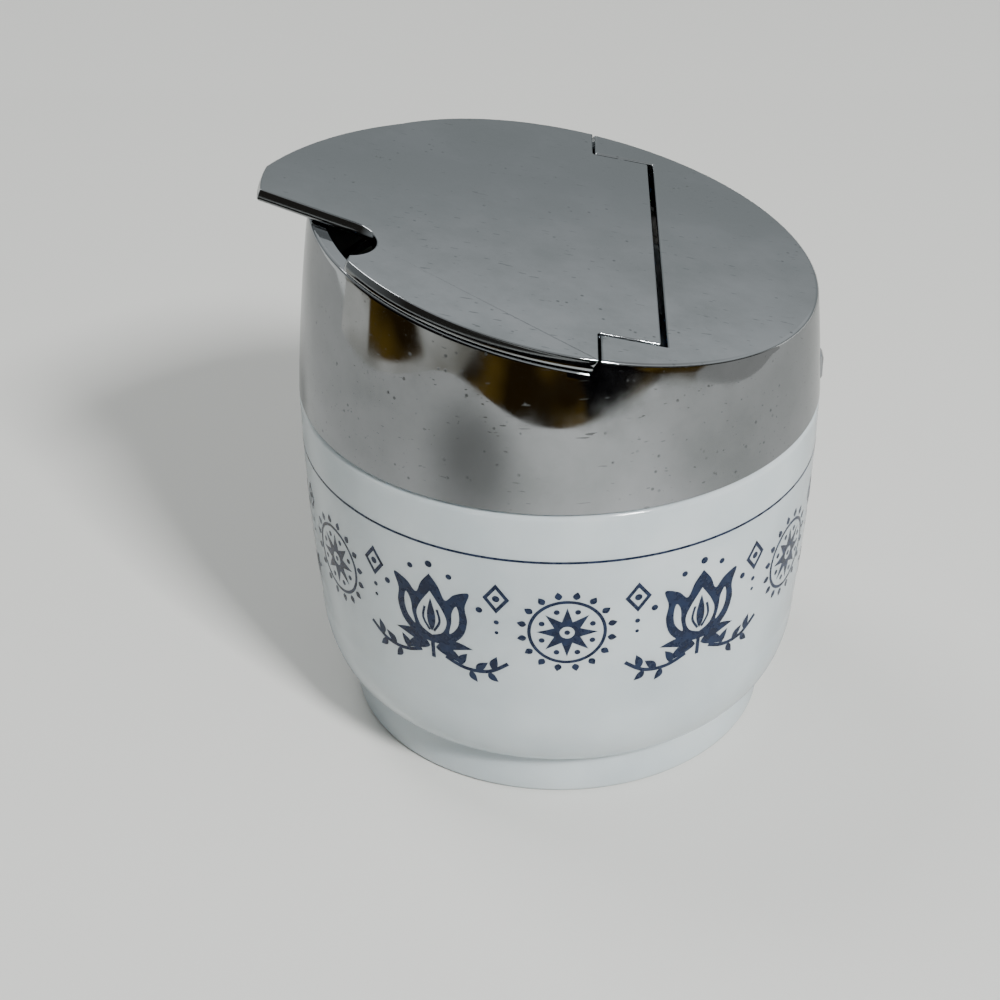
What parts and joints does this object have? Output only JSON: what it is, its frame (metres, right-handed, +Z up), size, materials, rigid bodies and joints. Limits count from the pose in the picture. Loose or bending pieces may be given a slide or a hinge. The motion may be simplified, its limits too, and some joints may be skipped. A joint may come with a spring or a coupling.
{
  "type": "sugar dispenser",
  "caption": "Footed opal glass sugar jar with a navy printed band under a slanted, plated screw lid, whose hinged flap has a pouring lip and a spoon notch.",
  "frame": {"origin": "on the surface that the foot ring stands on, under the middle of the whole dispenser, lip included; the jar's own axis stands at x = 2.06 mm", "axes": "+Z up along the jar's axis; the flap's lip points to -X and the lid's low back edge to +X; the hinge line runs along Y, and the spoon notch is on the -Y side of the lip"},
  "size_m": [0.089, 0.0842, 0.094],
  "materials": {
    "opal_glass": "glossy, opaque white opal with a fired navy print",
    "ring_foam": "matt closed-cell foam",
    "collar_plastic": "satin moulded plastic",
    "plated_lid": "bright chrome plating on plastic, lightly pitted",
    "plated_flap": "bright chrome plating on plastic, lightly pitted",
    "pin_steel": "drawn wire"
  },
  "bodies": {
    "jar": {"glass_jar": "opal_glass"},
    "seal": {"sealing_ring": "ring_foam"},
    "lid": {"lid_shell": "plated_lid", "thread_collar": "collar_plastic"},
    "flap": {"flap": "plated_flap", "hinge_pin_near": "pin_steel", "hinge_pin_far": "pin_steel"}
  },
  "joints": [
    {"name": "lid_rise", "type": "slide", "parent": "jar", "child": "seal", "axis": [0, 0, 1], "range_m": [0, 0.0034]},
    {"name": "lid_turn", "type": "hinge", "parent": "seal", "child": "lid", "pos_m": [0.00206, 0, 0.064], "axis": [0, 0, 1], "range_deg": [0, 300]},
    {"name": "flap_hinge", "type": "hinge", "parent": "lid", "child": "flap", "pos_m": [0.01195, 0, 0.08038], "axis": [0, 1, 0], "range_deg": [0, 100]}
  ],
  "couplings": [
    {"joint": "lid_rise", "follows": "lid_turn", "m_per_rad": 0.00063662}
  ]
}
